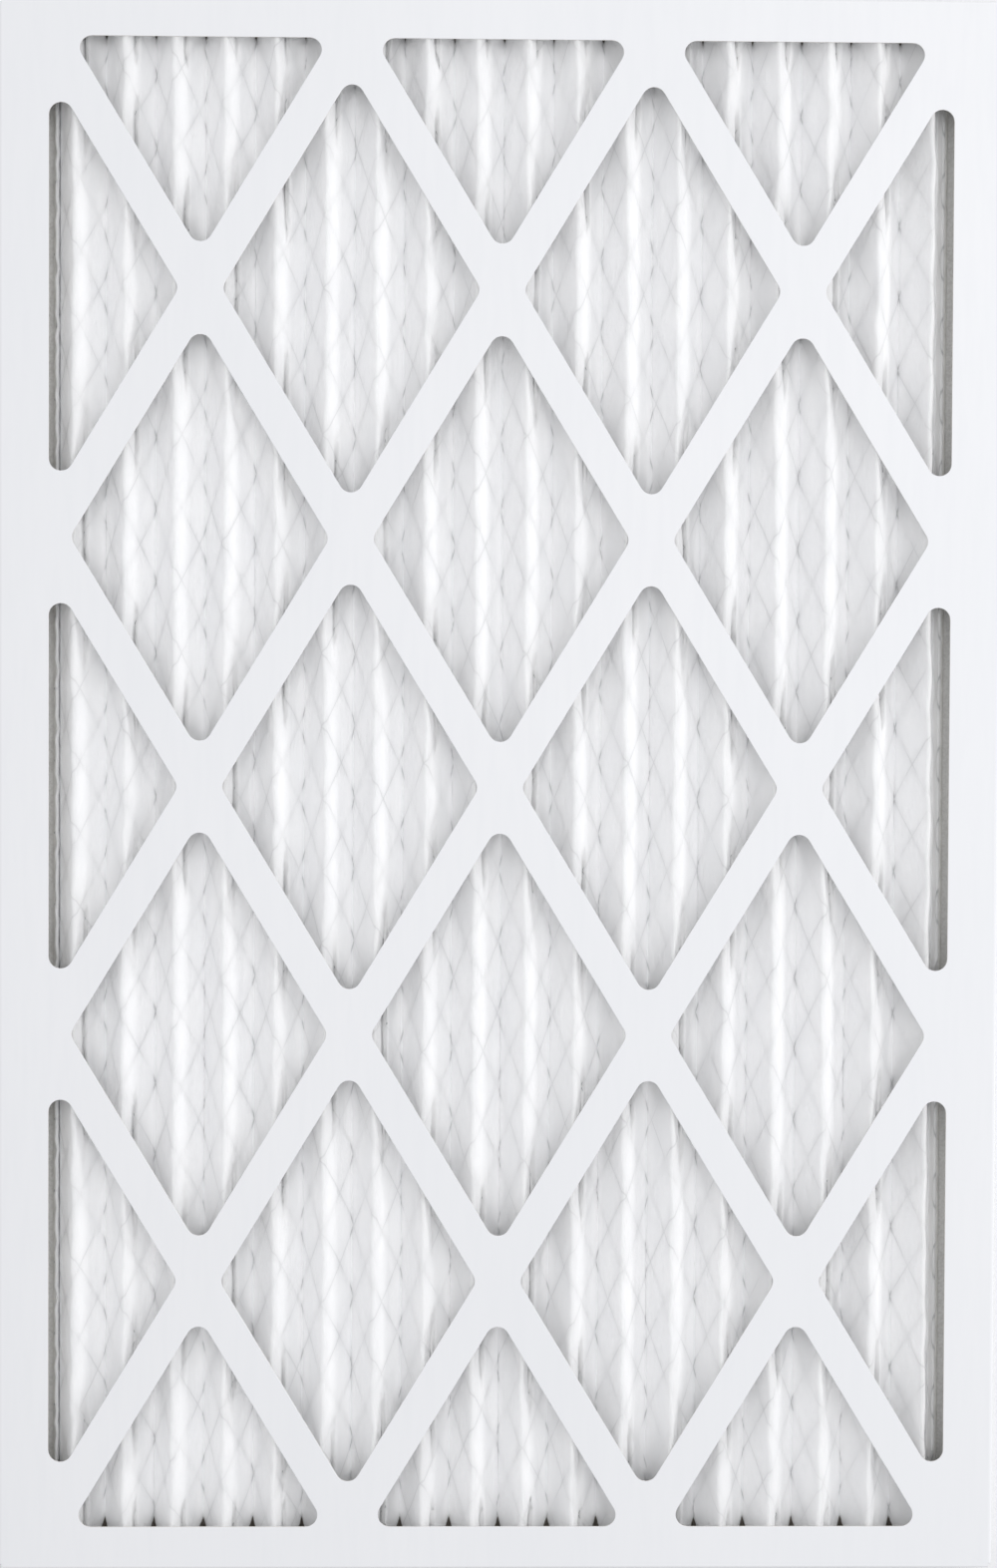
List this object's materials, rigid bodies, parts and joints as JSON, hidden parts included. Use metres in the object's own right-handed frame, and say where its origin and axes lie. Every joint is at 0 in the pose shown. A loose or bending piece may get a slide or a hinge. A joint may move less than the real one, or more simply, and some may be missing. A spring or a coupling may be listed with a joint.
{
  "type": "pleated panel air filter",
  "caption": "Flat rectangular pleated air filter: white folded media with wire backing inside a two-piece paperboard frame with a diamond grille.",
  "frame": {"origin": "centre of the rear face, on the surface that the filter lies on", "axes": "+X across the pleats, along the 400 mm width; +Y along the pleats and the 628.6 mm length; +Z out of the front face, which the air enters"},
  "size_m": [0.4, 0.6286, 0.019],
  "materials": {
    "frame_board": "smooth white-coated board",
    "filter_media": "matt nonwoven fibre",
    "backing_metal": "bright expanded metal",
    "adhesive": "set hot-melt adhesive"
  },
  "bodies": {
    "root": {"front_frame": "frame_board", "rear_frame": "frame_board", "pleated_media": "filter_media", "wire_backing": "backing_metal", "top_end_bead": "adhesive", "bottom_end_bead": "adhesive", "left_side_bead": "adhesive", "right_side_bead": "adhesive"}
  },
  "joints": []
}
